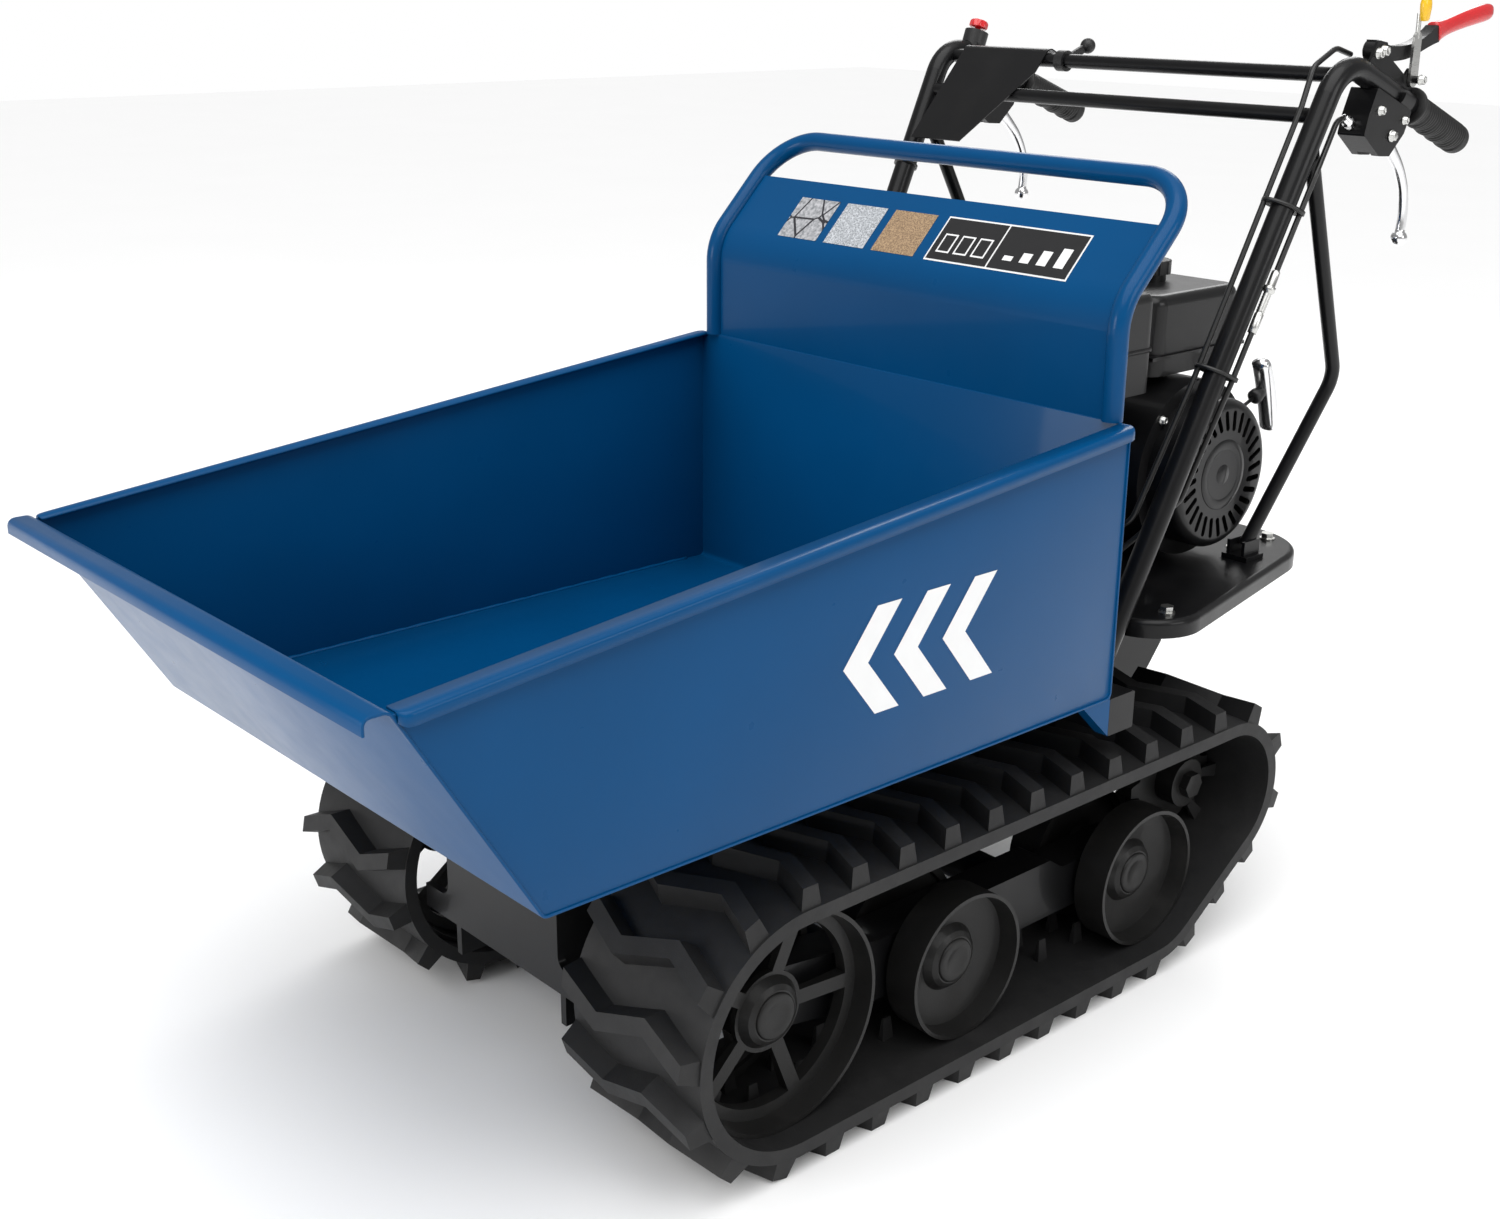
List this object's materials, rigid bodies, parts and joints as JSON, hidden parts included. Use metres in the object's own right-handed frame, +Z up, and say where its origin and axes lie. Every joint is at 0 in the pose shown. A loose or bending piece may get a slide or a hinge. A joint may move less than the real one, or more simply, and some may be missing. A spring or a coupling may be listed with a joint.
{
  "type": "tracked mini dumper",
  "caption": "Walk-behind tracked power wheelbarrow: front-tipping open tub, rubber tracks, rear petrol engine, handlebars with hand levers.",
  "frame": {"origin": "on the ground, in the middle of the machine's overall box", "axes": "+Z up, -Y towards the tub's lip (forwards), +Y towards the operator, +X the operator's left"},
  "size_m": [0.651, 1.5229, 1.0227],
  "materials": {
    "tub_blue": "glossy blue powder coat, scuffed inside",
    "frame_black": "satin black powder coat",
    "wheel_black": "semi-gloss black paint",
    "track_rubber": "matt black rubber",
    "steel": "zinc-plated steel",
    "bright_alloy": "polished cast alloy",
    "engine_cast": "dark painted casting",
    "engine_black": "gloss black paint",
    "engine_plastic": "black textured plastic",
    "grip_rubber": "matt black rubber",
    "red_plastic": "red dipped plastic",
    "yellow_plastic": "yellow plastic",
    "cable_black": "black plastic sheath",
    "belt_rubber": "black rubber"
  },
  "bodies": {
    "frame": {"air_filter_box": "engine_plastic", "belt_guard": "engine_black", "blower_housing": "engine_black", "brace_brackets": "frame_black", "carburettor": "bright_alloy", "chassis_rails": "frame_black", "control_cover": "frame_black", "cross_tubes": "frame_black", "cylinder_head": "engine_cast", "deck_bolts": "steel", "drive_belt": "belt_rubber", "drive_bracket": "frame_black", "drive_cable": "cable_black", "engine_block": "engine_cast", "engine_deck": "frame_black", "front_cross_beam": "frame_black", "fuel_tank": "engine_black", "gearbox_housing": "engine_cast", "hand_grips": "grip_rubber", "handle_braces": "frame_black", "handle_crossbars": "frame_black", "handlebars": "frame_black", "lever_clamps": "frame_black", "muffler": "engine_black", "rear_cross_bar": "frame_black", "recoil_cover": "engine_black", "steering_cables": "cable_black", "switch_clamp": "engine_plastic", "track_beams": "frame_black", "track_left": "track_rubber", "track_right": "track_rubber", "tub_hinge_pin": "steel"},
    "tub": {"tub_shell": "tub_blue", "tub_hoop": "tub_blue", "rear_shield": "tub_blue", "tub_brackets": "tub_blue"},
    "latch": {"tub_latch": "frame_black"},
    "sprocket_left": {"drive_sprocket_left": "wheel_black"},
    "sprocket_right": {"drive_sprocket_right": "wheel_black"},
    "idler_left": {"idler_wheel_left": "wheel_black"},
    "idler_right": {"idler_wheel_right": "wheel_black"},
    "front_roller_left": {"road_wheel_front_left": "wheel_black"},
    "front_roller_right": {"road_wheel_front_right": "wheel_black"},
    "rear_roller_left": {"road_wheel_rear_left": "wheel_black"},
    "rear_roller_right": {"road_wheel_rear_right": "wheel_black"},
    "left_steering": {"steering_lever_left": "bright_alloy"},
    "right_steering": {"steering_lever_right": "bright_alloy"},
    "drive_hand_lever": {"drive_lever": "engine_black", "drive_lever_grip": "red_plastic"},
    "drive_lock": {"lock_latch": "steel", "latch_knob": "yellow_plastic"},
    "stop_button": {"switch_knob": "red_plastic"},
    "throttle": {"throttle_lever": "engine_plastic"},
    "choke": {"choke_lever": "steel"},
    "tank_cap": {"fuel_cap": "engine_plastic"},
    "starter_pull": {"recoil_handle": "engine_plastic"},
    "crank": {"crankshaft": "steel"},
    "gearbox_input": {"gearbox_pulley": "steel"},
    "tensioner": {"belt_tensioner": "steel"}
  },
  "joints": [
    {"name": "tub_tip", "type": "hinge", "parent": "frame", "child": "tub", "pos_m": [0, -0.42, 0.312], "axis": [1, 0, 0], "range_deg": [0, 65]},
    {"name": "latch_turn", "type": "hinge", "parent": "frame", "child": "latch", "pos_m": [0, 0.1285, 0.3347], "axis": [1, 0, 0], "range_deg": [0, 32]},
    {"name": "idler_spin_left", "type": "hinge", "parent": "frame", "child": "idler_left", "pos_m": [0.2355, -0.3425, 0.145], "axis": [1, 0, 0], "continuous": true},
    {"name": "front_roller_spin_left", "type": "hinge", "parent": "frame", "child": "front_roller_left", "pos_m": [0.2355, -0.0995, 0.1114], "axis": [1, 0, 0], "continuous": true},
    {"name": "rear_roller_spin_left", "type": "hinge", "parent": "frame", "child": "rear_roller_left", "pos_m": [0.2355, 0.1895, 0.1114], "axis": [1, 0, 0], "continuous": true},
    {"name": "sprocket_spin_left", "type": "hinge", "parent": "frame", "child": "sprocket_left", "pos_m": [0.2355, 0.2965, 0.182], "axis": [1, 0, 0], "continuous": true},
    {"name": "steering_squeeze_left", "type": "hinge", "parent": "frame", "child": "left_steering", "pos_m": [0.276, 0.53083, 0.87982], "axis": [1, 0, 0], "range_deg": [0, 20], "stiffness_Nm_per_rad": 1.5},
    {"name": "idler_spin_right", "type": "hinge", "parent": "frame", "child": "idler_right", "pos_m": [-0.2355, -0.3425, 0.145], "axis": [1, 0, 0], "continuous": true},
    {"name": "front_roller_spin_right", "type": "hinge", "parent": "frame", "child": "front_roller_right", "pos_m": [-0.2355, -0.0995, 0.1114], "axis": [1, 0, 0], "continuous": true},
    {"name": "rear_roller_spin_right", "type": "hinge", "parent": "frame", "child": "rear_roller_right", "pos_m": [-0.2355, 0.1895, 0.1114], "axis": [1, 0, 0], "continuous": true},
    {"name": "sprocket_spin_right", "type": "hinge", "parent": "frame", "child": "sprocket_right", "pos_m": [-0.2355, 0.2965, 0.182], "axis": [1, 0, 0], "continuous": true},
    {"name": "steering_squeeze_right", "type": "hinge", "parent": "frame", "child": "right_steering", "pos_m": [-0.276, 0.53083, 0.87982], "axis": [1, 0, 0], "range_deg": [0, 20], "stiffness_Nm_per_rad": 1.5},
    {"name": "drive_squeeze", "type": "hinge", "parent": "frame", "child": "drive_hand_lever", "pos_m": [0.268, 0.51709, 0.96694], "axis": [1, 0, 0], "range_deg": [-24, 0], "stiffness_Nm_per_rad": 2},
    {"name": "drive_lock_turn", "type": "hinge", "parent": "frame", "child": "drive_lock", "pos_m": [0.28, 0.58129, 0.93584], "axis": [1, 0, 0], "range_deg": [-10, 10]},
    {"name": "stop_press", "type": "slide", "parent": "frame", "child": "stop_button", "axis": [0, -0.3455, -0.9384], "range_m": [0, 0.004], "stiffness_N_per_m": 400},
    {"name": "throttle_turn", "type": "hinge", "parent": "frame", "child": "throttle", "pos_m": [-0.096, 0.4505, 0.944], "axis": [1, 0, 0], "range_deg": [-25, 25]},
    {"name": "choke_turn", "type": "hinge", "parent": "frame", "child": "choke", "pos_m": [0.0963, 0.2865, 0.588], "axis": [1, 0, 0], "range_deg": [-30, 0]},
    {"name": "cap_turn", "type": "hinge", "parent": "frame", "child": "tank_cap", "pos_m": [0.045, 0.4575, 0.719], "axis": [0, 0, 1], "range_deg": [0, 90]},
    {"name": "starter_stroke", "type": "slide", "parent": "frame", "child": "starter_pull", "axis": [0, 0.9397, 0.342], "range_m": [0, 0.11], "stiffness_N_per_m": 60},
    {"name": "crank_spin", "type": "hinge", "parent": "frame", "child": "crank", "pos_m": [0, 0.4135, 0.506], "axis": [1, 0, 0], "continuous": true},
    {"name": "gearbox_input_spin", "type": "hinge", "parent": "frame", "child": "gearbox_input", "pos_m": [-0.118, 0.3405, 0.262], "axis": [1, 0, 0], "continuous": true},
    {"name": "tensioner_swing", "type": "hinge", "parent": "frame", "child": "tensioner", "pos_m": [-0.0998, 0.44515, 0.288], "axis": [1, 0, 0], "range_deg": [0, 3.12]}
  ],
  "couplings": [
    {"joint": "front_roller_spin_left", "follows": "idler_spin_left", "ratio": 1.4341},
    {"joint": "rear_roller_spin_left", "follows": "idler_spin_left", "ratio": 1.4341},
    {"joint": "sprocket_spin_left", "follows": "idler_spin_left", "ratio": 1.5},
    {"joint": "front_roller_spin_right", "follows": "idler_spin_right", "ratio": 1.4341},
    {"joint": "rear_roller_spin_right", "follows": "idler_spin_right", "ratio": 1.4341},
    {"joint": "sprocket_spin_right", "follows": "idler_spin_right", "ratio": 1.5},
    {"joint": "gearbox_input_spin", "follows": "crank_spin", "ratio": 0.6},
    {"joint": "tensioner_swing", "follows": "drive_squeeze", "ratio": -0.13}
  ]
}
